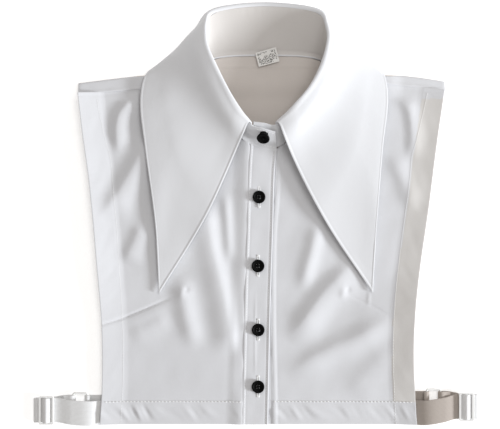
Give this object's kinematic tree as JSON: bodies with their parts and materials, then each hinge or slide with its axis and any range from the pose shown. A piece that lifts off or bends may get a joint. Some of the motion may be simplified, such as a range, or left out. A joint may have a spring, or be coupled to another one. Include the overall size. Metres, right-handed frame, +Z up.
{
  "type": "detachable shirt collar",
  "caption": "Buttoned half shirt front with a long pointed turn-down collar, open sides and short elastic side straps with sliders, laid flat on its back panel.",
  "frame": {"origin": "middle of the box round the whole piece, on the surface it lies on", "axes": "+X to the wearer's left, +Y from the front hem to the back of the collar, +Z up from the surface through the layers"},
  "size_m": [0.4175, 0.3945, 0.0313],
  "materials": {
    "shirting": "plain weave, matt",
    "collar_cloth": "plain weave, interlined",
    "elastic": "woven elastic",
    "fitting": "white moulded",
    "button": "black, soft shine",
    "label": "woven tape"
  },
  "bodies": {
    "root": {"back_panel": "shirting", "front_panel_right": "shirting", "front_panel_left": "shirting", "placket_band": "shirting", "button_band": "shirting", "collar_stand": "collar_cloth", "collar_leaf": "collar_cloth", "neck_label": "label", "button_1": "button", "button_2": "button", "button_3": "button", "button_4": "button", "button_5": "button", "strap_right": "elastic", "strap_stub_right": "elastic", "slider_right": "fitting", "ring_right": "fitting", "strap_left": "elastic", "strap_stub_left": "elastic", "slider_left": "fitting", "ring_left": "fitting"}
  },
  "joints": []
}
